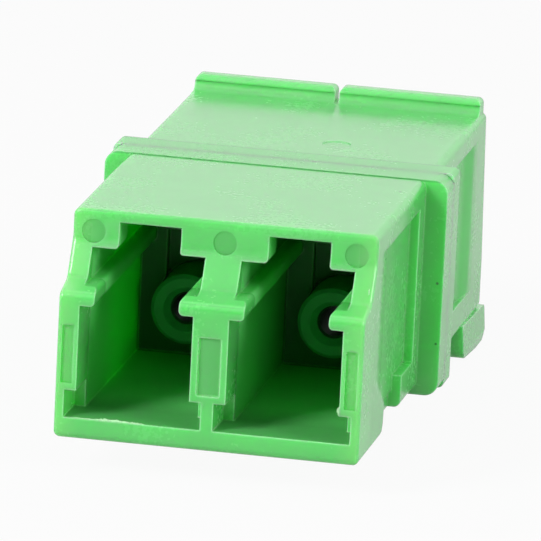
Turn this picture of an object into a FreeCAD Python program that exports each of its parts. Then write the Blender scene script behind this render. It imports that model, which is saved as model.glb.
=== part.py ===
"""Duplex LC fibre adapter in the outline of an SC simplex adapter, flangeless, green.

Two moulded housing halves are welded at a collar.  Between them sit two sleeve
carriers, back to back, which trap two slit zirconia sleeves on the port axes.
X runs across the two ports, Y from the front end to the rear end with 0 on the
weld plane, and Z up with 0 on the surface that the adapter stands on.
"""
import FreeCAD, Part
import math
import os

Vector = FreeCAD.Vector

# ---- whole adapter -------------------------------------------------------------
PORT_PITCH = 6.25           # between the two fibre axes
SIDE_WALL = 0.88            # beside each port
BODY_HEIGHT = 9.2           # from the base of the front foot to the roof
HALF_LENGTH = 14.0          # from the weld plane to either end
CORNER_RADIUS = 0.3         # long edges of the body
EDGE_RADIUS = 0.15          # rims of the end faces
KEEL_DROP = 1.42            # how far the rear keel stands below the front foot

# ---- collar: a flange on each half ----------------------------------------------
FRONT_FLANGE = 1.5          # thickness
FRONT_FLANGE_PROUD = 0.95   # past the side walls
FRONT_FLANGE_RADIUS = 0.6
REAR_FLANGE = 1.32
REAR_FLANGE_PROUD = 0.92
REAR_FLANGE_RADIUS = 0.25
COLLAR_ROOF_STEP = 0.04     # above the roof

# ---- plug ports ----------------------------------------------------------------
PLUG_SIDE = 4.74            # square body of the plug cavity
PORT_FLOOR = 0.9            # floor over the base
CAVITY_FROM_WELD = 1.85     # end wall of a port, from the weld plane
LEDGE_GAP = 3.52            # between the two latch ledges
LEDGE_THICKNESS = 0.69
LEDGE_TIP_RADIUS = 0.2
HEAD_ROOM = 1.33            # from the ledges up to the block over the port
KEY_WIDTH = 2.58            # slot for the latch lever
KEY_WALL = 0.45             # over that slot, up to the roof
KEY_RADIUS = 0.15
CATCH_WALL = 1.55           # wall that the latch catches behind
CATCH_POCKET_LENGTH = 3.2
CORNER_SLOT_WALL = 0.39     # outside the slots in the bottom corners of the mouths
CORNER_SLOT_RIB = 0.53      # between the slots of the two ports
CORNER_SLOT_HEIGHT = 1.16
CORNER_SLOT_DEPTH = 2.0

# ---- front end: lower face, shelf, slope and upper face ---------------------------
FACE_SETBACK = 2.2          # upper face behind the lower face
SHELF_FOOT_RISE = 0.51      # top of the lower face, over the underside of the ledges
SHELF_FOOT_RADIUS = 0.35
SHELF_DEPTH = 1.35
SHELF_BACK_RISE = 0.17      # back of the shelf, over the top of the ledges
SHELF_BACK_RADIUS = 0.4
SLOPE_FROM_ROOF = 1.2       # top of the slope, under the roof
SLOPE_HEAD_RADIUS = 1.0
FOOT_LENGTH = 5.3
HEEL_RADIUS = 0.25          # lower rear edge of the foot
HEEL_END_RADIUS = 0.85      # the same edge beside a notch
UNDERSIDE_LIFT = 0.28       # body behind the foot, over the foot's base

# ---- sleeves -------------------------------------------------------------------
SLEEVE_LENGTH = 6.8
SLEEVE_OUTSIDE = 1.62
SLEEVE_BORE = 1.25
SLEEVE_SLIT = 0.3
SLEEVE_CHAMFER = 0.08
SLEEVE_PLAY = 0.04          # radial and endwise

# ---- sleeve carriers -----------------------------------------------------------
TUBE_DIAMETER = 3.0
TUBE_CLEARANCE = 0.05
TUBE_CHAMFER = 0.15
MOUTH_LIP = 0.36            # wall at a tube's mouth that keeps the sleeve in
MOUTH_DIAMETER = 1.4        # its hole at the sleeve, wider towards the mouth
MOUTH_FLARE = 0.25
PLATE_WALL = 0.875          # body beside the plate
PLATE_HEIGHT = 4.6
PLATE_THICKNESS = 1.1
PLATE_RADIUS = 0.4
PLATE_CLEARANCE = 0.05
RELIEF_DEPTH = 0.5          # slot over each tube, into the end wall
RELIEF_RISE = 0.63          # its top, over the top of the plate

# ---- side recesses and notches -------------------------------------------------
RECESS_DEPTH = 0.42
RECESS_FROM_COLLAR = 1.0    # strip of wall left beside the collar
RECESS_FROM_END = 3.3
RECESS_FROM_ROOF = 1.0
RECESS_RAMP = 3.2           # gentle run-out at the end away from the collar
RUN_OUT_LENGTH = 1.4        # its first, shallower part
RUN_OUT_DEPTH = 0.08
RUN_OUT_RADIUS = 12.0
RIB_TOP = 1.64              # rib under the recess, beside the collar
NOTCH_DEPTH = 0.55
NOTCH_LENGTH = 3.8
NOTCH_TOP = 0.97
FOOT_TOP = 1.4              # wall over the foot, at its rear corner
WALL_TOP = 2.85             # the same wall, where the recess runs out

# ---- marks left by the mould ---------------------------------------------------
POCKET_DEPTH = 0.12
POCKET_WIDTH = 0.94
POCKET_BOTTOM = 2.35
POCKET_TOP = 4.8
POCKET_RADIUS = 0.08
SIDE_POCKET_WIDTH = 0.5
SIDE_POCKET_WALL = 0.2
MARK_DIAMETER = 1.0
MARK_DEPTH = 0.05
MARK_FROM_WALL = 0.875
MARK_FROM_ROOF = 0.9
ROOF_MARK_DIAMETER = 1.2    # one round mark on the rear roof
ROOF_MARK_DEPTH = 0.04
ROOF_MARK_X = 1.5
ROOF_MARK_FROM_COLLAR = 2.58

# ---- rear end ------------------------------------------------------------------
REAR_TOP_SETBACK = 1.65     # rear face at the roof, before the keel's end
REAR_FACE_SETBACK = 0.85    # rear face lower down, before the keel's end
REAR_SLOPE_FOOT = 2.4
REAR_SLOPE_RADIUS = 0.35
REAR_ROOF_STEP = 0.08       # rear roof under the front roof
LIP_HEIGHT = 0.66
LIP_THICKNESS = 0.8
LIP_GAP = 0.17
LIP_INSET = 0.13            # outer ends, in from the side walls
LIP_END_RADIUS = 0.28
LIP_FRONT_RADIUS = 0.28
LIP_REAR_RADIUS = 0.12
LIP_FILLET = 0.4
KEEL_LENGTH = 4.95
KEEL_TOP = 0.25             # rear end of its top, over the base of the front foot
KEEL_TOP_RISE = 0.17        # rise of its top towards its front
KEEL_NOSE_RISE = 0.38       # rise of its underside towards its front
KEEL_FLAT = 0.8             # level strip that it stands on, at its rear end
KEEL_TOP_RADIUS = 0.2
KEEL_HEEL_RADIUS = 0.3
KEEL_NOSE_RADIUS = 0.45
KEEL_PROUD = 0.155          # past the side walls where it is widest
KEEL_WIDEST = 0.57          # height of that place over the strip
KEEL_SIDE_RADIUS = 0.12     # between its sides and its underside
KEEL_TAPER = 0.11           # how far its sides lean in, below the widest place
KEEL_LEAN = 0.09            # and above it

# ---- weld plane ----------------------------------------------------------------
PIN_DIAMETER = 0.8
PIN_LENGTH = 0.8
PIN_FROM_WALL = 0.125
PIN_FROM_ROOF = 2.2
PIN_CLEARANCE = 0.05

# ---- values that follow --------------------------------------------------------
BASE = KEEL_DROP                                  # base of the front foot
ROOF = BASE + BODY_HEIGHT
REAR_ROOF = ROOF - REAR_ROOF_STEP
UNDERSIDE = BASE + UNDERSIDE_LIFT
HALF_WIDTH = (PORT_PITCH + PLUG_SIDE) / 2 + SIDE_WALL
AXIS_X = (-PORT_PITCH / 2, PORT_PITCH / 2)
FRONT = -HALF_LENGTH
UPPER_FACE = FRONT + FACE_SETBACK
HEEL = FRONT + FOOT_LENGTH
FLOOR = BASE + PORT_FLOOR
AXIS_Z = FLOOR + PLUG_SIDE / 2
LEDGE_BOTTOM = FLOOR + PLUG_SIDE
LEDGE_TOP = LEDGE_BOTTOM + LEDGE_THICKNESS
HEAD = LEDGE_TOP + HEAD_ROOM
KEY_TOP = ROOF - KEY_WALL
RECESS_START = FRONT + RECESS_FROM_END
RECESS_END = -FRONT_FLANGE - RECESS_FROM_COLLAR
RECESS_TOP = ROOF - RECESS_FROM_ROOF
PLATE_HALF_WIDTH = HALF_WIDTH - PLATE_WALL
PLATE_HALF_HEIGHT = PLATE_HEIGHT / 2
SIDES = (-1, 1)
PAST = 1.0                                        # how far a cutter runs past a face


def in_yz(y, z, x=0.0):
    return Vector(x, y, z)


def in_xz(x, z, y=0.0):
    return Vector(x, y, z)


def in_xy(x, y, z=0.0):
    return Vector(x, y, z)


def rounded_face(corners, place):
    """A face with straight sides; each corner is (u, v, radius)."""
    count = len(corners)
    ends = []
    for index, (u, v, radius) in enumerate(corners):
        here = Vector(u, v, 0)
        back = Vector(*corners[index - 1][:2], 0).sub(here).normalize()
        ahead = Vector(*corners[(index + 1) % count][:2], 0).sub(here).normalize()
        if radius == 0:
            ends.append((here, here, here))
            continue
        half = back.getAngle(ahead) / 2
        run = radius / math.tan(half)
        middle = (back + ahead).normalize() * (radius / math.sin(half) - radius)
        ends.append((here + back * run, here + middle, here + ahead * run))
    edges = []
    for index, (start, middle, end) in enumerate(ends):
        if start.distanceToPoint(end) > 1e-9:
            edges.append(Part.Arc(*[place(p.x, p.y) for p in (start, middle, end)]).toShape())
        following = ends[(index + 1) % count][0]
        if end.distanceToPoint(following) > 1e-9:
            edges.append(Part.LineSegment(place(end.x, end.y), place(following.x, following.y)).toShape())
    return Part.Face(Part.Wire(edges))


def prism_x(corners, left, right):
    """A side view, as (y, z, radius) corners, carried from left to right."""
    face = rounded_face(corners, lambda y, z: in_yz(y, z, left))
    return face.extrude(Vector(right - left, 0, 0))


def prism_y(corners, front, rear):
    """An end view, as (x, z, radius) corners, carried from front to rear."""
    face = rounded_face(corners, lambda x, z: in_xz(x, z, front))
    return face.extrude(Vector(0, rear - front, 0))


def prism_z(corners, bottom, top):
    """A plan view, as (x, y, radius) corners, carried from bottom to top."""
    face = rounded_face(corners, lambda x, y: in_xy(x, y, bottom))
    return face.extrude(Vector(0, 0, top - bottom))


def box(left, right, front, rear, bottom, top):
    return Part.makeBox(right - left, rear - front, top - bottom, Vector(left, front, bottom))


def rod(diameter, x, z, front, rear):
    return Part.makeCylinder(diameter / 2, rear - front, Vector(x, front, z), Vector(0, 1, 0))


def rectangle(left, right, bottom, top, radius):
    return [(left, bottom, radius), (right, bottom, radius), (right, top, radius), (left, top, radius)]


def mirrored(right_side):
    """A closed outline from its right side, given from the bottom up."""
    return right_side + [(-u, v, radius) for u, v, radius in reversed(right_side)]


def stretch(side, inner, outer):
    """The left and right ends of a stretch on one side of the middle plane."""
    return sorted((side * inner, side * outer))


def to_rear(shape):
    """The same form at the other end of the adapter."""
    return shape.mirror(Vector(0, 0, 0), Vector(0, 1, 0))


def end_section(front, rear, bottom, top):
    """The body's outline seen from an end."""
    outline = rectangle(-HALF_WIDTH, HALF_WIDTH, bottom, top, CORNER_RADIUS)
    return prism_y(outline, front, rear)


def round_rim(body, front, rear):
    """Rounds the upright edges of an end: the ones on the side walls, between two places."""
    rim = []
    for edge in body.Edges:
        spread = edge.BoundBox
        on_wall = spread.XLength < 1e-6 and abs(abs(spread.XMin) - HALF_WIDTH) < 1e-6
        if on_wall and spread.ZLength > 1e-6 and spread.YMin > front and spread.YMax < rear:
            rim.append(edge)
    return body.makeFillet(EDGE_RADIUS, rim)


# ---- ports ---------------------------------------------------------------------
def port_stretch(axis_x, front, rear, head, key_top):
    """A length of a port: the plug's square, the gap between the two ledges that the
    latch slides over, the room above them, and the lever's slot where key_top is higher."""
    half_plug = PLUG_SIDE / 2
    half_gap = LEDGE_GAP / 2
    half_key = KEY_WIDTH / 2
    right_side = [(half_plug, FLOOR, 0), (half_plug, LEDGE_BOTTOM, 0),
                  (half_gap, LEDGE_BOTTOM, LEDGE_TIP_RADIUS), (half_gap, LEDGE_TOP, LEDGE_TIP_RADIUS),
                  (half_plug, LEDGE_TOP, 0), (half_plug, head, 0)]
    if key_top > head:
        key_radius = min(KEY_RADIUS, (key_top - head) / 2)
        right_side += [(half_key, head, key_radius), (half_key, key_top, 0)]
    outline = [(axis_x + x, z, radius) for x, z, radius in mirrored(right_side)]
    return prism_y(outline, front, rear)


def port_opening(axis_x):
    """Everything that is open in a front port, from its mouth to its end wall."""
    mouth = FRONT - PAST
    catch = UPPER_FACE + CATCH_WALL
    pocket_end = catch + CATCH_POCKET_LENGTH
    end_wall = -CAVITY_FROM_WELD
    half_key = KEY_WIDTH / 2
    relief = box(axis_x - half_key, axis_x + half_key, end_wall, end_wall + RELIEF_DEPTH,
                 AXIS_Z, AXIS_Z + PLATE_HALF_HEIGHT + RELIEF_RISE)
    return port_stretch(axis_x, mouth, catch, HEAD, KEY_TOP).fuse([
        port_stretch(axis_x, catch, pocket_end, KEY_TOP, KEY_TOP),
        port_stretch(axis_x, pocket_end, end_wall, HEAD, HEAD), relief])


def corner_slots(side):
    """The low slot that takes in both bottom corners of a port's mouth."""
    across = stretch(side, CORNER_SLOT_RIB / 2, HALF_WIDTH - CORNER_SLOT_WALL)
    return box(*across, FRONT - PAST, FRONT + CORNER_SLOT_DEPTH, FLOOR, FLOOR + CORNER_SLOT_HEIGHT)


def carrier_seat():
    """The pocket behind the end wall for a carrier's plate, and its two tube holes."""
    half_width = PLATE_HALF_WIDTH + PLATE_CLEARANCE
    half_height = PLATE_HALF_HEIGHT + PLATE_CLEARANCE
    outline = rectangle(-half_width, half_width, AXIS_Z - half_height, AXIS_Z + half_height,
                        PLATE_RADIUS + PLATE_CLEARANCE)
    seat = prism_y(outline, -PLATE_THICKNESS, PAST)
    bore = TUBE_DIAMETER + 2 * TUBE_CLEARANCE
    holes = [rod(bore, axis_x, AXIS_Z, -CAVITY_FROM_WELD - PAST, PAST) for axis_x in AXIS_X]
    return seat.fuse(holes)


# ---- what both housing halves have, built at the front end ------------------------
def flange(thickness, proud, radius):
    """Half of the collar, in front of the weld plane."""
    side = HALF_WIDTH + proud
    outline = rectangle(-side, side, BASE, ROOF + COLLAR_ROOF_STEP, radius)
    return prism_y(outline, -thickness, 0)


def side_recess(side, side_view):
    """A shallow recess in a side wall that runs out gently towards the end of the body."""
    outside = side * (HALF_WIDTH + PAST)
    skin = side * HALF_WIDTH
    shallow = side * (HALF_WIDTH - RUN_OUT_DEPTH)
    floor = side * (HALF_WIDTH - RECESS_DEPTH)
    plan = [(outside, RECESS_START, 0), (skin, RECESS_START, 0),
            (shallow, RECESS_START + RUN_OUT_LENGTH, RUN_OUT_RADIUS),
            (floor, RECESS_START + RECESS_RAMP, 0), (floor, RECESS_END, 0), (outside, RECESS_END, 0)]
    return prism_z(plan, BASE, ROOF).common(prism_x(side_view, -HALF_WIDTH - PAST, HALF_WIDTH + PAST))


def weld_pin(side, radius_growth):
    """A locating pin on the weld plane, or the socket that takes it."""
    diameter = PIN_DIAMETER + 2 * radius_growth
    return rod(diameter, side * (HALF_WIDTH - PIN_FROM_WALL), ROOF - PIN_FROM_ROOF,
               0, PIN_LENGTH + radius_growth)


def inner_form():
    """What both halves are hollowed out by: two ports, their corner slots and the carrier's seat."""
    ports = [port_opening(axis_x) for axis_x in AXIS_X]
    slots = [corner_slots(side) for side in SIDES]
    return ports + slots + [carrier_seat()]


# ---- front housing ---------------------------------------------------------------
def front_body():
    """The front half's block: lower face, shelf, slope and upper face, foot and raised underside."""
    side_view = [(FRONT, BASE, CORNER_RADIUS), (HEEL, BASE, HEEL_RADIUS), (HEEL, UNDERSIDE, 0),
                 (0, UNDERSIDE, 0), (0, ROOF, 0), (UPPER_FACE, ROOF, EDGE_RADIUS),
                 (UPPER_FACE, ROOF - SLOPE_FROM_ROOF, SLOPE_HEAD_RADIUS),
                 (FRONT + SHELF_DEPTH, LEDGE_TOP + SHELF_BACK_RISE, SHELF_BACK_RADIUS),
                 (FRONT, LEDGE_BOTTOM + SHELF_FOOT_RISE, SHELF_FOOT_RADIUS)]
    ends = end_section(FRONT, HEEL, BASE, ROOF).fuse(end_section(HEEL, 0, UNDERSIDE, ROOF))
    body = prism_x(side_view, -HALF_WIDTH, HALF_WIDTH).common(ends).removeSplitter()
    return round_rim(body, FRONT - PAST, RECESS_START)


def front_recess(side):
    """The front half's recess: cut off by the foot's corner, open to the notch, and by the rib."""
    notch_end = HEEL + NOTCH_LENGTH
    side_view = [(RECESS_START, RECESS_TOP, 0), (RECESS_END, RECESS_TOP, 0),
                 (RECESS_END, BASE + RIB_TOP, 0), (notch_end, BASE + RIB_TOP, 0),
                 (notch_end, BASE + NOTCH_TOP, 0), (HEEL, BASE + NOTCH_TOP, 0),
                 (HEEL, BASE + FOOT_TOP, 0), (RECESS_START, BASE + WALL_TOP, 0)]
    return side_recess(side, side_view)


def corner_notch(side):
    """The step cut out of a bottom corner behind the foot, whose heel it rounds off."""
    start = HEEL - 2 * HEEL_END_RADIUS
    end = HEEL + NOTCH_LENGTH
    side_view = [(start, BASE - PAST, 0), (start, BASE, 0), (HEEL, BASE, HEEL_END_RADIUS),
                 (HEEL, BASE + NOTCH_TOP, 0), (end, BASE + NOTCH_TOP, 0), (end, BASE - PAST, 0)]
    return prism_x(side_view, *stretch(side, HALF_WIDTH - NOTCH_DEPTH, HALF_WIDTH + PAST))


def face_pockets():
    """Shallow sunk panels on the lower front face: on the divider and on each side wall."""
    half = POCKET_WIDTH / 2
    outer = HALF_WIDTH - SIDE_POCKET_WALL
    spans = [(-half, half)] + [stretch(side, outer - SIDE_POCKET_WIDTH, outer) for side in SIDES]
    return [prism_y(rectangle(left, right, BASE + POCKET_BOTTOM, BASE + POCKET_TOP, POCKET_RADIUS),
                    FRONT - PAST, FRONT + POCKET_DEPTH) for left, right in spans]


def ejector_marks():
    """Round sunk marks on the upper front face: over the divider and over each side wall."""
    offset = HALF_WIDTH - MARK_FROM_WALL
    return [rod(MARK_DIAMETER, x, ROOF - MARK_FROM_ROOF, UPPER_FACE - PAST, UPPER_FACE + MARK_DEPTH)
            for x in (-offset, 0, offset)]


def front_housing():
    shell = front_body().fuse(flange(FRONT_FLANGE, FRONT_FLANGE_PROUD, FRONT_FLANGE_RADIUS))
    cuts = inner_form() + face_pockets() + ejector_marks()
    for side in SIDES:
        cuts += [front_recess(side), corner_notch(side)]
    return shell.cut(cuts).fuse([weld_pin(side, 0) for side in SIDES])


# ---- rear housing ----------------------------------------------------------------
def rear_body():
    """The rear half's block, with an end face that leans in towards the roof."""
    top = HALF_LENGTH - REAR_TOP_SETBACK
    face = HALF_LENGTH - REAR_FACE_SETBACK
    side_view = [(0, UNDERSIDE, 0), (face, UNDERSIDE, 0), (face, BASE + REAR_SLOPE_FOOT, REAR_SLOPE_RADIUS),
                 (top, REAR_ROOF, 0), (0, REAR_ROOF, 0)]
    return prism_x(side_view, -HALF_WIDTH, HALF_WIDTH).common(
        end_section(0, HALF_LENGTH, UNDERSIDE, REAR_ROOF))


def rear_recess(side):
    """The rear half's recess: a plain oblong between the collar and the run-out."""
    side_view = rectangle(RECESS_START, RECESS_END, BASE + RIB_TOP, RECESS_TOP, 0)
    return to_rear(side_recess(side, side_view))


def roof_mark():
    """A round sunk mark on the rear roof."""
    centre = Vector(ROOF_MARK_X, REAR_FLANGE + ROOF_MARK_FROM_COLLAR, REAR_ROOF - ROOF_MARK_DEPTH)
    return Part.makeCylinder(ROOF_MARK_DIAMETER / 2, PAST, centre)


def rear_lip(side):
    """A ridge along the end of the roof over one port, filleted into it."""
    rear = HALF_LENGTH - REAR_TOP_SETBACK
    front = rear - LIP_THICKNESS
    crest = REAR_ROOF + LIP_HEIGHT
    root = REAR_ROOF - PAST
    run = front - 2 * LIP_FILLET
    side_view = [(run, root, 0), (rear, root, 0), (rear, crest, LIP_REAR_RADIUS),
                 (front, crest, LIP_FRONT_RADIUS), (front, REAR_ROOF, LIP_FILLET), (run, REAR_ROOF, 0)]
    left, right = stretch(side, LIP_GAP / 2, HALF_WIDTH - LIP_INSET)
    ends = prism_y([(left, root, 0), (right, root, 0), (right, crest, LIP_END_RADIUS),
                    (left, crest, LIP_END_RADIUS)], run, rear)
    return prism_x(side_view, left, right).common(ends)


def keel():
    """The deeper slab under the rear end, a little wider than the body and sloped up forwards."""
    front = HALF_LENGTH - KEEL_LENGTH
    side = HALF_WIDTH + KEEL_PROUD
    bottom = BASE - KEEL_DROP
    top = BASE + KEEL_TOP
    slab = prism_x([(front, bottom + KEEL_NOSE_RISE, KEEL_NOSE_RADIUS), (HALF_LENGTH - KEEL_FLAT, bottom, 0),
                    (HALF_LENGTH, bottom, KEEL_HEEL_RADIUS), (HALF_LENGTH, top, KEEL_TOP_RADIUS),
                    (front, top + KEEL_TOP_RISE, 0)], -side, side)
    right_side = [(side - KEEL_TAPER, bottom, KEEL_SIDE_RADIUS), (side, bottom + KEEL_WIDEST, 0),
                  (side - KEEL_LEAN, top + KEEL_TOP_RISE, 0)]
    return slab.common(prism_y(mirrored(right_side), front, HALF_LENGTH))


def rear_housing():
    collar = to_rear(flange(REAR_FLANGE, REAR_FLANGE_PROUD, REAR_FLANGE_RADIUS))
    shell = rear_body().fuse([collar, keel()] + [rear_lip(side) for side in SIDES])
    cuts = [to_rear(form) for form in inner_form()] + [roof_mark()]
    for side in SIDES:
        cuts += [rear_recess(side), weld_pin(side, PIN_CLEARANCE)]
    return shell.cut(cuts)


# ---- what the housings hold --------------------------------------------------------
def front_carrier():
    """A plate with a tube for each port; each tube has a lip with a flared hole at its mouth."""
    outline = rectangle(-PLATE_HALF_WIDTH, PLATE_HALF_WIDTH, AXIS_Z - PLATE_HALF_HEIGHT,
                        AXIS_Z + PLATE_HALF_HEIGHT, PLATE_RADIUS)
    plate = prism_y(outline, -PLATE_THICKNESS, 0)
    seat = -SLEEVE_LENGTH / 2 - SLEEVE_PLAY
    mouth = seat - MOUTH_LIP
    outside = TUBE_DIAMETER / 2
    bore = SLEEVE_OUTSIDE / 2 + SLEEVE_PLAY
    lip = MOUTH_DIAMETER / 2
    wall = [(0, outside), (mouth + TUBE_CHAMFER, outside), (mouth, outside - TUBE_CHAMFER),
            (mouth, lip + MOUTH_FLARE), (seat, lip), (seat, bore), (0, bore)]
    tubes = []
    for axis_x in AXIS_X:
        corners = [Vector(axis_x + radius, y, AXIS_Z) for y, radius in wall]
        section = Part.Face(Part.makePolygon(corners + corners[:1]))
        tubes.append(section.revolve(Vector(axis_x, 0, AXIS_Z), Vector(0, 1, 0), 360))
    holes = [rod(2 * bore, axis_x, AXIS_Z, -PLATE_THICKNESS, 0) for axis_x in AXIS_X]
    return plate.cut(holes).fuse(tubes)


def sleeve(axis_x):
    """A zirconia sleeve, slit along its top so that it springs onto the ferrules."""
    half = SLEEVE_LENGTH / 2
    outside = SLEEVE_OUTSIDE / 2
    inside = SLEEVE_BORE / 2
    edge = SLEEVE_CHAMFER
    wall = [(-half, inside + edge), (-half, outside - edge), (-half + edge, outside),
            (half - edge, outside), (half, outside - edge), (half, inside + edge),
            (half - edge, inside), (-half + edge, inside)]
    corners = [Vector(axis_x + radius, y, AXIS_Z) for y, radius in wall]
    section = Part.Face(Part.makePolygon(corners + corners[:1]))
    tube = section.revolve(Vector(axis_x, 0, AXIS_Z), Vector(0, 1, 0), 360)
    slit = box(axis_x - SLEEVE_SLIT / 2, axis_x + SLEEVE_SLIT / 2, -half - PAST, half + PAST,
               AXIS_Z, AXIS_Z + SLEEVE_OUTSIDE)
    return tube.cut(slit)


def main():
    os.makedirs("parts", exist_ok=True)
    nodes = {
        "front_housing": front_housing(),
        "rear_housing": rear_housing(),
        "front_sleeve_carrier": front_carrier(),
        "rear_sleeve_carrier": to_rear(front_carrier()),
        "left_split_sleeve": sleeve(AXIS_X[0]),
        "right_split_sleeve": sleeve(AXIS_X[1]),
    }
    for name, shape in nodes.items():
        shape = shape.removeSplitter()
        solids = shape.Solids
        print(name, "solids", len(solids), "valid", shape.isValid(), "mm3", round(shape.Volume, 2))
        solids[0].exportStep("parts/" + name + ".step")


main()
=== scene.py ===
"""Finish and stage for the duplex LC fibre adapter: moulded green plastic, ceramic sleeves, studio light."""

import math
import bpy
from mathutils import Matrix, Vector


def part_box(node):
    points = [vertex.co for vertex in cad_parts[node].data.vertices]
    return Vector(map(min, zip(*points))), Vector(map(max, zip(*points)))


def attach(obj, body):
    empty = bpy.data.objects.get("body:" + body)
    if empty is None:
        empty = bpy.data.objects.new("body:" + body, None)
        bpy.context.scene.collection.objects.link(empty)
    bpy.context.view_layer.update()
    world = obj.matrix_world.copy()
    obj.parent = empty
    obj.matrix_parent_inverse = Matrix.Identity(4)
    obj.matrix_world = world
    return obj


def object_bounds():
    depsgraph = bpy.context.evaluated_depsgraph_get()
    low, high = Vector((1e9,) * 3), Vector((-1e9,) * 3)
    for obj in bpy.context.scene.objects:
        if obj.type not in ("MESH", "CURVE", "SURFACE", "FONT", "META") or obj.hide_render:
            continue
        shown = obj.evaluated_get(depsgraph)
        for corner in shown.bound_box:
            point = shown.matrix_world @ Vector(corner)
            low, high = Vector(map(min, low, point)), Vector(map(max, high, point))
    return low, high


bl_info = {
    "name": "Duplex LC fibre adapter",
    "version": (1, 0, 0),
    "blender": (4, 5, 0),
    "location": "3D Viewport > Sidebar > Adapter",
    "description": "Gives the packed adapter its moulded plastic, ceramic sleeves, lamps and camera",
    "category": "Object",
}

from functools import cached_property

import bpy
import numpy as np
from bpy.props import FloatProperty, FloatVectorProperty, PointerProperty
from mathutils import Matrix, Vector

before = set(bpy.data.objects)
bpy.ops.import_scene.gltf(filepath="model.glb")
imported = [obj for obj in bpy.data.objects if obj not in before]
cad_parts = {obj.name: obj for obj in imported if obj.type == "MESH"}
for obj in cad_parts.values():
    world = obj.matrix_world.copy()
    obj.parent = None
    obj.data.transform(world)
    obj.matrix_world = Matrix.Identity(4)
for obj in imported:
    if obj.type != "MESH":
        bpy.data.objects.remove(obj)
CAD_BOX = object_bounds()
MM = 0.001

# ---- the housings, in millimetres: across the ports, along the fibres, and up -------
FRONT, BASE = (np.array(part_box("front_housing")[0]) / MM)[1:]   # lower front face; underside of the foot
SIDE = 6.375                        # side walls, either way from the middle
ROOF = BASE + 9.2
REAR_ROOF = ROOF - 0.08
UPPER_FACE = FRONT + 2.2            # front face over the shelf
MOUTH_FLOOR = BASE + 0.9
PORTS_MIDDLE = BASE + 4.8
PORTS_REACH = (5.6, 11.6, 4.0)      # how far the shade of the ports goes from their middle
SLOT_SIDE = 5.98                    # outer walls of the slots in the mouths' bottom corners
END_EDGE = 13.9                     # just inside the front end, and as far the other way
RECESS_FLOOR = 5.9                  # side recesses, either way from the middle
RUN_OUT = 9.35                      # middle of the slope at their rear end
COLLAR_FRONT = -1.5
COLLAR_REAR = 1.32
COLLAR_CORNER = 6.65                # inner end of the collar's rounded corners
LIP_FOOT = 11.2                     # front of the lips on the rear roof
STRIP = (5.925, BASE + 3.575)       # middle of the sunk strip beside each mouth, across and up
STRIP_DEPTH = 0.12
MARK_OFFSET = SIDE - 0.875          # round marks on the upper front face
MARK_HEIGHT = ROOF - 0.9
MARK_RADIUS = 0.5
MARK_DEPTH = 0.05

# ---- wear, in millimetres, and one colour ----------------------------------------------
SPECKS = (  # middle and radius of each dark speck
    (7.07, -1.5, BASE + 4.86, 0.08), (7.14, -1.5, BASE + 2.26, 0.07), (5.72, -3.82, ROOF, 0.09))
BURRS = (  # start, end and rise of each thin fin of torn plastic
    ((-4.70, FRONT + 0.07, MOUTH_FLOOR), (-3.45, FRONT + 0.07, MOUTH_FLOOR), (0, 0.02, 0.12)),
    ((-3.75, FRONT + 0.06, MOUTH_FLOOR), (-2.60, FRONT + 0.06, MOUTH_FLOOR), (0, 0.03, 0.08)),
    ((-5.70, FRONT + 0.05, MOUTH_FLOOR), (-4.50, FRONT + 0.05, MOUTH_FLOOR), (0, 0.0, 0.04)),
    ((5.60, FRONT + 0.05, BASE + 5.62), (5.62, FRONT + 0.05, BASE + 5.95), (-0.05, 0, 0)),
    ((5.50, FRONT + 0.05, BASE + 4.74), (5.72, FRONT + 0.05, BASE + 4.72), (0, 0, 0.05)),
    ((6.33, FRONT + 0.80, BASE + 7.05), (6.33, FRONT + 0.84, BASE + 7.32), (0.02, -0.03, 0)),
    ((5.50, FRONT + 0.06, BASE + 2.46), (5.50, FRONT + 0.06, BASE + 2.06), (-0.16, 0, 0)))
BURR_SEED = 7
FIN_STATIONS, FIN_SIDES, FIN_KNOTS = 81, 10, 22
LIT_THROUGH = (0.36, 0.76, 0.12)    # colour of the thin outer walls, lit from behind

# ---- stage ---------------------------------------------------------------------------
LAMPS = {  # direction from the middle of the adapter, then distance and size in metres
    "key": ((-0.68, -0.85, 0.70), 0.30, 0.10),
    "fill": ((0.95, -0.33, 0.42), 0.35, 0.12),
    "overhead": ((0.0, 0.35, 1.0), 0.30, 0.25)}
FLOOR_HALF = 0.5                    # metres
AIM = Vector((0.06, -2.0, BASE + 4.86)) * MM    # a little in front of the collar, at half the body's height


# ---- shader maths --------------------------------------------------------------------
class Term:
    """A shader socket that adds a Math node for each operator used on it."""

    def __init__(self, finish, socket):
        self.finish = finish
        self.socket = socket

    def maths(self, operation, *values):
        return self.finish.node("ShaderNodeMath", {"operation": operation}, dict(enumerate(values)))

    def __add__(self, other):
        return self.maths("ADD", self, other)

    def __radd__(self, other):
        return self.maths("ADD", other, self)

    def __sub__(self, other):
        return self.maths("SUBTRACT", self, other)

    def __rsub__(self, other):
        return self.maths("SUBTRACT", other, self)

    def __mul__(self, other):
        return self.maths("MULTIPLY", self, other)

    def __rmul__(self, other):
        return self.maths("MULTIPLY", other, self)

    def __neg__(self):
        return self.maths("MULTIPLY", self, -1.0)

    def __abs__(self):
        return self.maths("ABSOLUTE", self)

    def root(self):
        return self.maths("SQRT", self)

    def most(self, other):
        """The larger of this value and other."""
        return self.maths("MAXIMUM", self, other)

    def clipped(self):
        """This value held between 0 and 1."""
        return self.maths("MINIMUM", self, 1.0).most(0.0)

    def ramp(self, low, high):
        """0 at low, 1 at high, and an even ramp between them."""
        return ((self - low) * (1 / (high - low))).clipped()

    def band(self, middle, half, soft):
        """1 within half of middle, and down to 0 over soft on both sides."""
        return 1 - abs(self - middle).ramp(half, half + soft)


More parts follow.
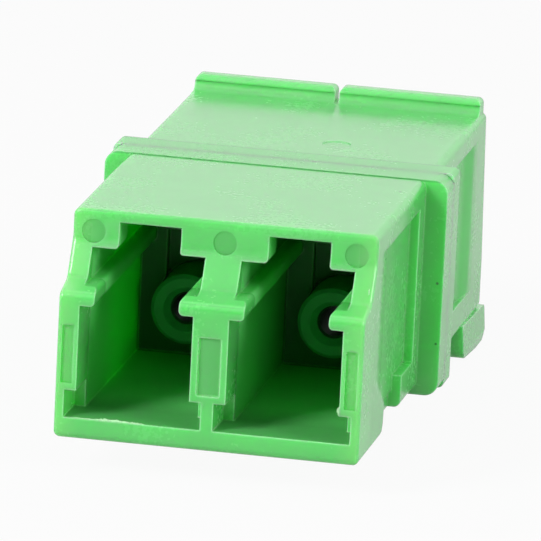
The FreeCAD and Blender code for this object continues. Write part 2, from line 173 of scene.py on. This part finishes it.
class Finish:
    """A material, or the world, under construction."""

    def __init__(self, owner):
        self.owner = owner
        owner.use_nodes = True
        self.tree = owner.node_tree
        self.tree.nodes.clear()

    def add(self, kind, settings=None, inputs=None):
        """Adds a node, and sets its settings first and its sockets second."""
        node = self.tree.nodes.new(kind)
        for name, value in (settings or {}).items():
            setattr(node, name, value)
        for name, value in (inputs or {}).items():
            if isinstance(value, Term):
                self.tree.links.new(value.socket, node.inputs[name])
            else:
                node.inputs[name].default_value = value
        return node

    def node(self, kind, settings=None, inputs=None, output=0):
        """Adds a node and returns one of its outputs."""
        return Term(self, self.add(kind, settings, inputs).outputs[output])

    def output(self, shader, kind="ShaderNodeOutputMaterial"):
        """Ends the nodes in one shader, and returns the material or world."""
        self.add(kind, None, {"Surface": shader})
        return self.owner

    def plastic(self, sockets):
        """Ends the nodes in a Principled shader with these sockets, and returns the material."""
        return self.output(self.node("ShaderNodeBsdfPrincipled", None, sockets))

    def vectors(self, operation, *values, output=0):
        """The answer of one Vector Math node."""
        return self.node("ShaderNodeVectorMath", {"operation": operation}, dict(enumerate(values)), output)

    def parts(self, vector):
        """The three numbers of a vector."""
        return [Term(self, part) for part in self.add("ShaderNodeSeparateXYZ", None, {0: vector}).outputs]

    def millimetres(self, stretch=(1.0, 1.0, 1.0)):
        """The place on the piece in millimetres, with each axis scaled by stretch."""
        place = self.node("ShaderNodeTexCoord", None, None, "Object")
        return self.vectors("MULTIPLY", place, tuple(factor / MM for factor in stretch))

    def noise(self, place, per_mm, detail=2.0, roughness=0.5):
        """Smooth noise about 0.5, with per_mm grains to a millimetre."""
        sockets = {"Vector": place, "Scale": per_mm, "Detail": detail, "Roughness": roughness}
        return self.node("ShaderNodeTexNoise", None, sockets)

    def mix(self, factor, first, second):
        """Colour that goes from first to second as factor goes from 0 to 1."""
        return self.node("ShaderNodeMix", {"data_type": "RGBA"}, {0: factor, 6: first, 7: second}, 2)

    def plain(self):
        """The surface direction as the mesh has it."""
        return self.node("ShaderNodeNewGeometry", None, None, "Normal")

    def rounded(self, radius):
        """The surface direction with every edge rounded to radius."""
        return self.node("ShaderNodeBevel", {"samples": 4}, {"Radius": radius})

    def edge(self, radius, gain):
        """1 on edges and 0 beyond radius of them: how far rounding turns the surface."""
        facing = self.vectors("DOT_PRODUCT", self.rounded(radius), self.plain(), output="Value")
        return ((1 - facing) * gain).clipped()

    def bumped(self, height, distance, direction):
        """The surface direction with bumps of this height, in shares of distance."""
        return self.node("ShaderNodeBump", None, {
            "Strength": 1.0, "Distance": distance, "Height": height, "Normal": direction})

    def seen(self, in_gloss):
        """1 where the eye sees this directly or through something clear, and in_gloss in a gloss."""
        kinds = ("Is Camera Ray", "Is Glossy Ray", "Is Transmission Ray")
        camera, glossy, clear = (self.node("ShaderNodeLightPath", None, None, kind) for kind in kinds)
        return (camera + glossy * in_gloss + clear).clipped()


def colour4(colour, factor=1.0):
    return tuple(factor * channel for channel in colour) + (1.0,)


def shades(finish, factor, colour, first, second):
    """colour times first where factor is 0, and times second where it is 1."""
    return finish.mix(factor, colour4(colour, first), colour4(colour, second))


# ---- where on a housing ----------------------------------------------------------------
class Skin:
    """A point of a housing in millimetres, and its soft-edged places, each 1 inside it and 0 outside."""

    def __init__(self, finish):
        self.finish = finish
        self.point = finish.millimetres()
        self.across, self.along, self.up = finish.parts(self.point)
        self.out = abs(self.across)

    @cached_property
    def port_floors(self):
        """The floors of the ports, out to the mouths and into their bottom corners."""
        level = self.up.band(MOUTH_FLOOR, 0.02, 0.02)
        return self.out.band(0, SLOT_SIDE, 0.02) * self.along.band(0, END_EDGE, 0.05) * level

    @cached_property
    def ports(self):
        """Everything inside the ports."""
        across, along, up = PORTS_REACH
        walls = self.out.band(0, across, 0.02) * self.along.band(0, along, 0.3)
        return (walls * self.up.band(PORTS_MIDDLE, up, 0.05)).most(self.port_floors)

    @cached_property
    def run_out(self):
        """The slope at the rear end of each side recess."""
        recess = self.out.ramp(RECESS_FLOOR, RECESS_FLOOR + 0.05) * self.up.band(BASE + 4.9, 3.2, 0.1)
        return recess * self.along.band(RUN_OUT, 0.4, 0.6)

    @cached_property
    def apron(self):
        """The rear roof just in front of the lips."""
        strip = self.along.ramp(LIP_FOOT - 1.3, LIP_FOOT) * (1 - self.along.ramp(LIP_FOOT, LIP_FOOT + 0.05))
        return strip * self.up.band(REAR_ROOF, 0.05, 0.02)

    @cached_property
    def lips(self):
        """The two ridges along the end of the rear roof."""
        return self.along.ramp(LIP_FOOT, LIP_FOOT + 0.2) * self.up.ramp(REAR_ROOF + 0.05, REAR_ROOF + 0.2)

    @cached_property
    def collar_roof(self):
        """The level top of the collar."""
        return self.along.band(0, -COLLAR_FRONT, 0.05) * self.up.ramp(ROOF - 0.2, ROOF - 0.1)

    @cached_property
    def collar_corners(self):
        """The slivers of the rear flange that show past the rounded corners of the front one; they get a
        painted reflection.
        """
        corner = self.out.ramp(COLLAR_CORNER - 0.05, COLLAR_CORNER + 0.05)
        return self.along.band(0, 0.02, 0.01) * corner * self.up.ramp(ROOF - 0.6, ROOF - 0.5)

    @cached_property
    def collar_seam(self):
        """The weld line over the roof, where the flanges are flush."""
        return self.along.band(0, 0.14, 0.03) * self.up.ramp(ROOF - 0.3, ROOF - 0.2)

    @cached_property
    def collar_lines(self):
        """The two lines over the roof where the collar starts and ends."""
        front = self.along.band(COLLAR_FRONT - 0.02, 0.05, 0.03)
        rear = self.along.band(COLLAR_REAR - 0.06, 0.03, 0.04)
        return (front + rear) * self.up.ramp(ROOF - 0.06, ROOF - 0.02)

    @cached_property
    def side_strips(self):
        """The sunk strips beside the outer mouths, with their rims."""
        across, up = STRIP
        strip = self.out.band(across, 0.3, 0.02) * self.along.band(FRONT + STRIP_DEPTH / 2, 0.08, 0.02)
        return strip * self.up.band(up, 1.28, 0.03)

    @cached_property
    def mark_rims(self):
        """A thin ring on the rim of each round mark on the upper front face."""
        rims = 0.0
        for middle in (-MARK_OFFSET, 0.0, MARK_OFFSET):
            sideways, upwards = self.across - middle, self.up - MARK_HEIGHT
            reach = (sideways * sideways + upwards * upwards).root()
            rims = reach.band(MARK_RADIUS, 0.13, 0.02) + rims
        return rims * self.along.band(UPPER_FACE, 0.3, 0.02)

    @cached_property
    def sharp(self):
        """Where no edge is rounded."""
        return (self.mark_rims + self.collar_seam + self.side_strips).clipped()

    @cached_property
    def sunk(self):
        """The floors of the sunk strips and marks, fainter in the side strips."""
        strips = self.along.band(FRONT + STRIP_DEPTH, 0.02, 0.01) * (1 - self.out.ramp(5.0, 5.1) * 0.6)
        return strips + self.along.band(UPPER_FACE + MARK_DEPTH, 0.02, 0.01)

    @cached_property
    def front_side_light(self):
        """The outer parts of the front end, more so towards the side walls, where sheen and light through the
        thin walls are painted.
        """
        return self.out.ramp(5.3, 6.3) * (1 - self.along.ramp(FRONT + 2.3, FRONT + 2.6))

    @cached_property
    def scuffs(self):
        """Flecks scraped off the lower front corner of the right side wall."""
        flecks = self.finish.noise(self.point, 3.2, 2.0).ramp(0.55, 0.66)
        patch = self.along.band(-10.7, 0.5, 0.7) * self.up.band(BASE + 4.4, 2.0, 0.8)
        return flecks * self.across.band(6.3, 0.15, 0.05) * patch

    @cached_property
    def gap_shade(self):
        """Painted shade on the rear roof, in front of the gap between the lips, where the fillet dips into
        the gap.
        """
        patch = self.across.band(0.3, 0.3, 0.9) * self.along.band(10.3, 0.4, 0.7)
        return patch * self.up.band(REAR_ROOF, 0.05, 0.02)

    @cached_property
    def specks(self):
        """Each small dark speck in the skin."""
        total = 0.0
        for *middle, radius in SPECKS:
            reach = self.finish.vectors("DISTANCE", self.point, middle, output="Value")
            total = 1 - reach.ramp(radius * 0.4, radius) + total
        return total


# ---- finishes ----------------------------------------------------------------------------
def housing_tone(finish, skin, cloud, edge, settings):
    """The colour of the moulding: each place mixes its own tone over what is there. Many of these tones are
    painted shade, shadow, sheen and highlight.
    """
    colour, pale = settings.colour, colour4(settings.edge_highlight_tone)
    tone = shades(finish, cloud.ramp(0.3, 0.7), colour, 0.95, 1.05)
    tone = finish.mix(skin.sunk * settings.mark_depth, tone, colour4(colour, 0.6))
    # Painted shade: the housing goes darker deep inside the ports, round the middle of the adapter.
    deep_shade = skin.ports * skin.along.band(0, 1.9, 0.25)
    tone = finish.mix(deep_shade * 0.75, tone, colour4(colour, 0.3))
    # Real scuffs, together with a painted highlight on the tops of the lips and a painted reflection on the
    # collar's corner slivers.
    scuffs_and_highlights = skin.lips * 0.12 + skin.collar_corners * 0.8 + skin.scuffs * 0.5
    # Painted sheen: the outer parts of the front end go paler, and paler still where light through the thin
    # walls is painted on.
    sides = skin.front_side_light
    tone = finish.mix(scuffs_and_highlights + sides * 0.12, tone, pale)
    lit_through = sides * (1 - skin.out.ramp(SIDE - 0.075, SIDE - 0.005))
    tone = finish.mix(lit_through * 0.15, tone, colour4(LIT_THROUGH))
    # Painted shade: darker lines in the creases at the steps where the collar starts and ends.
    tone = finish.mix(skin.collar_lines * 0.55, tone, colour4(colour, 0.4))
    # Real dark specks, and the painted shade in front of the lips' gap.
    tone = finish.mix(skin.specks * 0.8 + skin.gap_shade * 0.15, tone, colour4(colour, 0.1))
    # Painted shadow on the port floors just inside the mouths.
    doorstep_shadow = skin.port_floors * (1 - skin.along.ramp(FRONT + 2.4, FRONT + 4.6))
    tone = finish.mix(doorstep_shadow * 0.75, tone, colour4(colour, 0.45))
    # Painted highlight along the rounded edges.
    return finish.mix(edge * settings.edge_highlight_strength, tone, pale)


def housing_direction(finish, skin, radius):
    """The surface direction: rounded edges, but for the sharp ones, and two places that lean forwards."""
    sockets = {0: skin.sharp, 4: finish.rounded(radius), 5: finish.plain()}
    direction = finish.node("ShaderNodeMix", {"data_type": "VECTOR"}, sockets, 1)
    forwards = -(skin.run_out * 0.36 + skin.apron * 0.14)
    lean = finish.node("ShaderNodeCombineXYZ", None, {1: forwards})
    return finish.vectors("NORMALIZE", finish.vectors("ADD", direction, lean))


def green_plastic(settings):
    """Moulded green: clouds of tone, fine grain, rounded edges with a painted highlight, painted shade and
    sheen in places, and gloss outside the ports.
    """
    finish = Finish(bpy.data.materials.new("green_housing"))
    skin = Skin(finish)
    cloud = finish.noise(skin.point, 0.3, 3.0)
    grain = finish.noise(skin.point, 5.0, 1.0)
    ports, run_out = skin.ports, skin.run_out
    edge = finish.edge(radius=settings.edge_radius * 1.6, gain=3.0)
    edge = edge * (1 - skin.sharp) * (1 - skin.collar_lines)
    sheen = settings.roughness + (cloud - 0.5) * 0.1 + (grain - 0.5) * 0.06 + ports * 0.25 + run_out * 0.2
    gloss = (1 - ports) * (1 - run_out * 0.7 - skin.collar_roof * 0.45) * (1 - edge * 0.7) * settings.coat
    direction = housing_direction(finish, skin, settings.edge_radius)
    return finish.plastic({
        "Base Color": housing_tone(finish, skin, cloud, edge, settings), "Roughness": sheen,
        "Normal": finish.bumped(grain, settings.grain, direction), "IOR": 1.5,
        "Subsurface Weight": settings.glow, "Subsurface Radius": (0.3, 1.0, 0.38),
        "Subsurface Scale": settings.glow_depth,
        "Coat Weight": gloss, "Coat Roughness": 0.2, "Coat IOR": 1.5})


def carrier_plastic(settings):
    """The housing's green, darkened as painted shade for the dusk deep in the ports; unworn: smooth inside
    the ports.
    """
    finish = Finish(bpy.data.materials.new("green_carrier"))
    place = finish.millimetres()
    cloud = finish.noise(place, 0.6)
    grain = finish.noise(place, 14.0)
    return finish.plastic({
        "Base Color": shades(finish, cloud.ramp(0.3, 0.7), settings.colour, 0.94, 1.06),
        "Roughness": settings.roughness + (cloud - 0.5) * 0.1,
        "Normal": finish.bumped(grain, 0.0005 * MM, finish.rounded(0.05 * MM)), "IOR": 1.4})


def ground_ceramic(settings):
    """Sleeves coloured dark green as painted shade, standing in for the white ceramic in the green dusk of
    the ports: faint rings from grinding round them, and a soft cloud.
    """
    finish = Finish(bpy.data.materials.new("zirconia"))
    rings = finish.noise(finish.millimetres((0.6, 16.0, 0.6)), 1.0, 3.0)
    cloud = finish.noise(finish.millimetres(), 0.8)
    return finish.plastic({
        "Base Color": shades(finish, cloud.ramp(0.35, 0.65), settings.colour, 1.0, 0.93),
        "Roughness": settings.roughness + (rings - 0.5) * 0.12,
        "Normal": finish.bumped(rings, 0.0004 * MM, finish.rounded(0.03 * MM)), "IOR": 1.3})


def torn_plastic(settings):
    """Pale, dull and uneven green on the torn fins: the paleness is a painted highlight for the glints on
    them.
    """
    finish = Finish(bpy.data.materials.new("torn_plastic"))
    crumbs = finish.noise(finish.millimetres(), 16.0, 3.0, 0.7)
    return finish.plastic({
        "Base Color": shades(finish, crumbs.ramp(0.35, 0.6), settings.colour, 0.75, 1.0),
        "Roughness": 0.45 + crumbs * 0.3,
        "Normal": finish.bumped(crumbs, 0.01 * MM, finish.plain()), "IOR": 1.5})


def give(nodes, material):
    """Puts one material on CAD nodes whose form is already right."""
    for node in nodes:
        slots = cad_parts[node].material_slots
        if not slots:
            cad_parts[node].data.materials.append(material)
        for slot in slots:
            slot.material = material


# ---- torn plastic on the edges -----------------------------------------------------------
def fin(start, end, rise, thickness, draw):
    """Points and faces of a thin torn fin. An ellipse is carried from start to end. It reaches rise times
    an arch times ragged noise one way, and half the thickness times the same arch the other way."""
    start, end, rise = (np.array(corner, float) for corner in (start, end, rise))
    part = np.linspace(0, 1, FIN_STATIONS)
    ragged = np.interp(part, np.linspace(0, 1, FIN_KNOTS), draw.uniform(0.25, 1.0, FIN_KNOTS))
    arch = np.maximum(np.sin(np.pi * part), 0.02) ** 0.6
    angle = np.linspace(0, 2 * np.pi, FIN_SIDES, endpoint=False)
    thick = np.cross(end - start, rise)
    thick *= thickness / 2 / np.linalg.norm(thick)
    tall = (arch * ragged)[:, None] * np.sin(angle)
    wide = arch[:, None] * np.cos(angle)
    points = start + part[:, None, None] * (end - start) + tall[..., None] * rise + wide[..., None] * thick
    ring, side = np.meshgrid(np.arange(FIN_STATIONS - 1), np.arange(FIN_SIDES), indexing="ij")
    after = (side + 1) % FIN_SIDES
    corners = (ring * FIN_SIDES + side, (ring + 1) * FIN_SIDES + side,
               (ring + 1) * FIN_SIDES + after, ring * FIN_SIDES + after)
    faces = np.stack(corners, -1).reshape(-1, 4).tolist()
    first, last = list(range(FIN_SIDES)), (FIN_STATIONS - 1) * FIN_SIDES
    return points.reshape(-1, 3), faces + [first, [last + side for side in reversed(first)]]


def edge_burrs(settings):
    """All the fins in one mesh."""
    draw = np.random.default_rng(BURR_SEED)
    points, faces = np.empty((0, 3)), []
    for start, end, rise in BURRS:
        more, sides = fin(start, end, rise, settings.thickness / MM, draw)
        faces += [[len(points) + corner for corner in side] for side in sides]
        points = np.concatenate((points, more))
    mesh = bpy.data.meshes.new("edge_burrs")
    mesh.from_pydata(points * MM, [], faces)
    mesh.shade_smooth()
    return mesh


# ---- stage: surroundings, floor, lamps and camera ------------------------------------------
def studio_world(settings):
    """White surroundings that dim towards the front, and plain white behind the adapter."""
    finish = Finish(bpy.data.worlds.new("studio"))
    direction = finish.node("ShaderNodeTexCoord", None, None, "Generated")
    ahead = finish.parts(direction)[1]
    shade = 1 - (-ahead).ramp(0.45, 0.92) * (1 - settings.camera_side)
    seen = finish.node("ShaderNodeLightPath", None, None, "Is Camera Ray")
    glossy = finish.node("ShaderNodeLightPath", None, None, "Is Glossy Ray")
    strength = shade * (settings.surround + glossy * (1 - settings.surround)) * (1 - seen) + seen
    light = finish.node("ShaderNodeBackground", None, {"Color": (1, 1, 1, 1), "Strength": strength})
    return finish.output(light, "ShaderNodeOutputWorld")


def studio_floor():
    """A pale floor that keeps the adapter's shadow."""
    mesh = bpy.data.meshes.new("floor")
    corners = [(across * FLOOR_HALF, along * FLOOR_HALF, 0)
               for across, along in ((-1, -1), (1, -1), (1, 1), (-1, 1))]
    mesh.from_pydata(corners, [], [(0, 1, 2, 3)])
    finish = Finish(bpy.data.materials.new("floor"))
    paper = finish.node("ShaderNodeBsdfDiffuse", None, {"Color": (0.5, 0.5, 0.5, 1)})
    white = finish.node("ShaderNodeEmission", None, {"Color": (1, 1, 1, 1), "Strength": 1.0})
    sockets = {0: finish.seen(0.5) * 0.94, 1: paper, 2: white}
    mesh.materials.append(finish.output(finish.node("ShaderNodeMixShader", None, sockets)))
    floor = add_object("floor", mesh)


def studio_lamp(name, power, centre):
    """One square lamp, turned towards centre."""
    direction, distance, size = LAMPS[name]
    lamp = bpy.data.lights.new(name, "AREA")
    lamp.size = size
    lamp.energy = power
    item = add_object(name, lamp)
    way = Vector(direction).normalized()
    item.location = centre + way * distance
    item.rotation_euler = way.to_track_quat("Z", "Y").to_euler()


def studio_camera(settings):
    """A long lens that looks at AIM, turned about its own axis by roll."""
    azimuth, elevation, roll = settings.azimuth, settings.elevation, settings.roll
    away = Vector((math.sin(azimuth) * math.cos(elevation), -math.cos(azimuth) * math.cos(elevation),
                   math.sin(elevation)))
    right = Vector((math.cos(azimuth), math.sin(azimuth), 0))
    up = away.cross(right)
    data = bpy.data.cameras.new("camera")
    data.lens = settings.lens
    data.clip_start = 0.01
    data.clip_end = 10
    camera = add_object("camera", data)
    place = Matrix((right * math.cos(roll) + up * math.sin(roll),
                    up * math.cos(roll) - right * math.sin(roll), away)).transposed().to_4x4()
    place.translation = AIM + away * settings.distance
    camera.matrix_world = place
    bpy.context.scene.camera = camera


def add_object(name, data):
    item = bpy.data.objects.new(name, data)
    bpy.context.scene.collection.objects.link(item)
    return item


# ---- what a user would change --------------------------------------------------------------
class HousingFinish(bpy.types.PropertyGroup):
    colour: FloatVectorProperty(
        name="Colour", description="Colour of the moulded housing", subtype="COLOR",
        size=3, min=0, max=1, default=(0.132, 0.640, 0.160))
    # Painted highlight: the paler colour mixed in along the edges.
    edge_highlight_tone: FloatVectorProperty(
        name="Edge colour", description="Paler colour along the edges", subtype="COLOR",
        size=3, min=0, max=1, default=(0.45, 0.95, 0.47))
    edge_highlight_strength: FloatProperty(
        name="Edge paleness", description="How pale the edges go", subtype="FACTOR",
        min=0, max=1, default=0.8)
    edge_radius: FloatProperty(
        name="Edge radius", description="Radius of the edges that the mould leaves sharp",
        unit="LENGTH", precision=6, min=0, default=0.09 * MM)
    mark_depth: FloatProperty(
        name="Mark tone", description="How much deeper the tone of the sunk marks is",
        subtype="FACTOR", min=0, max=1, default=0.3)
    roughness: FloatProperty(
        name="Roughness", description="Roughness of the moulded skin", subtype="FACTOR",
        min=0, max=1, default=0.26)
    coat: FloatProperty(
        name="Skin gloss", description="Glossy outer skin of the moulding", subtype="FACTOR",
        min=0, max=1, default=0.6)
    glow: FloatProperty(
        name="Translucency", description="Share of the light that goes in and comes out elsewhere",
        subtype="FACTOR", min=0, max=1, default=1.0)
    glow_depth: FloatProperty(
        name="Translucency depth", description="How far green light goes in the plastic", unit="LENGTH",
        precision=6, min=0, default=1.35 * MM)
    grain: FloatProperty(
        name="Grain", description="Height of the moulding grain", unit="LENGTH", precision=6,
        min=0, default=0.0005 * MM)


class CarrierFinish(bpy.types.PropertyGroup):
    # Painted shade: darker than the housing green, for the dusk deep in the ports.
    colour: FloatVectorProperty(
        name="Colour", description="Colour of the sleeve carriers", subtype="COLOR",
        size=3, min=0, max=1, default=(0.06, 0.50, 0.13))
    roughness: FloatProperty(
        name="Roughness", description="Roughness of the sleeve carriers", subtype="FACTOR",
        min=0, max=1, default=0.60)


class SleeveFinish(bpy.types.PropertyGroup):
    # Painted shade: the white ceramic is given a dark green that stands in for the dusk of the ports.
    colour: FloatVectorProperty(
        name="Colour", description="Colour of the ceramic", subtype="COLOR",
        size=3, min=0, max=1, default=(0.02, 0.11, 0.04))
    roughness: FloatProperty(
        name="Roughness", description="Roughness of the ground ceramic", subtype="FACTOR",
        min=0, max=1, default=0.5)


class BurrSettings(bpy.types.PropertyGroup):
    # Painted highlight: the fins' pale colour stands in for the glints on them.
    colour: FloatVectorProperty(
        name="Colour", description="Colour of the torn plastic", subtype="COLOR",
        size=3, min=0, max=1, default=(0.50, 0.88, 0.48))
    thickness: FloatProperty(
        name="Thickness", description="Thickness of the fins of torn plastic", unit="LENGTH", precision=6,
        min=0, default=0.07 * MM)


class StageSettings(bpy.types.PropertyGroup):
    key: FloatProperty(
        name="Key lamp", description="Power of the lamp at the front left", unit="POWER", min=0, default=0.74)
    fill: FloatProperty(
        name="Fill lamp", description="Power of the lamp at the right", unit="POWER", min=0, default=0.56)
    overhead: FloatProperty(
        name="Overhead lamp", description="Power of the large lamp over the adapter", unit="POWER",
        min=0, default=0.06)
    surround: FloatProperty(
        name="Surroundings", description="Light from the white studio round the adapter", min=0, default=0.38)
    camera_side: FloatProperty(
        name="Camera side", description="Share of that light that the front of the studio gives",
        subtype="FACTOR", min=0, max=1, default=0.0)
    azimuth: FloatProperty(
        name="Azimuth", description="Turn of the camera round the adapter, to its right",
        subtype="ANGLE", default=math.radians(10.87))
    elevation: FloatProperty(
        name="Elevation", description="Height of the camera as an angle", subtype="ANGLE",
        default=math.radians(13.95))
    roll: FloatProperty(
        name="Roll", description="Turn of the camera about its own axis", subtype="ANGLE",
        default=math.radians(2.82))
    distance: FloatProperty(
        name="Distance", description="From the camera to the adapter", unit="LENGTH", min=0.1, default=0.4599)
    lens: FloatProperty(
        name="Lens", description="Focal length in millimetres on a 36 mm frame", min=10, default=732.0)


# ---- operators -------------------------------------------------------------------------------
class ADAPTER_OT_housings(bpy.types.Operator):
    """Gives both housing halves their moulded green plastic"""
    bl_idname = "adapter.housings"
    bl_label = "Housings"

    def execute(self, context):
        give(("front_housing", "rear_housing"), green_plastic(context.scene.adapter_housing))
        return {"FINISHED"}


class ADAPTER_OT_carriers(bpy.types.Operator):
    """Gives the two sleeve carriers inside the ports their plastic"""
    bl_idname = "adapter.carriers"
    bl_label = "Sleeve carriers"

    def execute(self, context):
        material = carrier_plastic(context.scene.adapter_carrier)
        give(("front_sleeve_carrier", "rear_sleeve_carrier"), material)
        return {"FINISHED"}


class ADAPTER_OT_sleeves(bpy.types.Operator):
    """Gives the split sleeves their ground ceramic"""
    bl_idname = "adapter.sleeves"
    bl_label = "Split sleeves"

    def execute(self, context):
        give(("left_split_sleeve", "right_split_sleeve"), ground_ceramic(context.scene.adapter_sleeve))
        return {"FINISHED"}


class ADAPTER_OT_burrs(bpy.types.Operator):
    """Makes the small fins of torn plastic on the front edges"""
    bl_idname = "adapter.burrs"
    bl_label = "Edge burrs"

    def execute(self, context):
        settings = context.scene.adapter_burrs
        burrs = add_object("edge_burrs", edge_burrs(settings))
        burrs.data.materials.append(torn_plastic(settings))
        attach(burrs, "root")
        return {"FINISHED"}


class ADAPTER_OT_stage(bpy.types.Operator):
    """Makes the surroundings, the floor, the lamps and the camera"""
    bl_idname = "adapter.stage"
    bl_label = "Stage"

    def execute(self, context):
        scene = context.scene
        settings = scene.adapter_stage
        scene.view_settings.view_transform = "Standard"
        scene.world = studio_world(settings)
        studio_floor()
        centre = sum((Vector(corner) for corner in CAD_BOX), Vector()) / 2
        for name in LAMPS:
            studio_lamp(name, getattr(settings, name), centre)
        studio_camera(settings)
        return {"FINISHED"}


class ADAPTER_PT_panel(bpy.types.Panel):
    """Lists the steps and their settings"""
    bl_idname = "ADAPTER_PT_panel"
    bl_label = "Fibre adapter"
    bl_space_type = "VIEW_3D"
    bl_region_type = "UI"
    bl_category = "Adapter"

    def draw(self, context):
        for operator, group in STEPS:
            column = self.layout.box().column()
            column.operator(operator.bl_idname)
            settings = getattr(context.scene, group)
            for name in settings.__annotations__:
                column.prop(settings, name)


GROUPS = {"adapter_housing": HousingFinish, "adapter_carrier": CarrierFinish,
          "adapter_sleeve": SleeveFinish, "adapter_burrs": BurrSettings, "adapter_stage": StageSettings}
STEPS = ((ADAPTER_OT_housings, "adapter_housing"), (ADAPTER_OT_carriers, "adapter_carrier"),
         (ADAPTER_OT_sleeves, "adapter_sleeve"), (ADAPTER_OT_burrs, "adapter_burrs"),
         (ADAPTER_OT_stage, "adapter_stage"))
CLASSES = tuple(GROUPS.values()) + tuple(operator for operator, group in STEPS) + (ADAPTER_PT_panel,)


def register():
    for item in CLASSES:
        bpy.utils.register_class(item)
    for name, group in GROUPS.items():
        setattr(bpy.types.Scene, name, PointerProperty(type=group))


def unregister():
    for name in GROUPS:
        delattr(bpy.types.Scene, name)
    for item in reversed(CLASSES):
        bpy.utils.unregister_class(item)


def main():
    register()
    bpy.ops.adapter.housings()
    bpy.ops.adapter.carriers()
    bpy.ops.adapter.sleeves()
    bpy.ops.adapter.burrs()
    bpy.ops.adapter.stage()


if __name__ == "__main__":
    main()
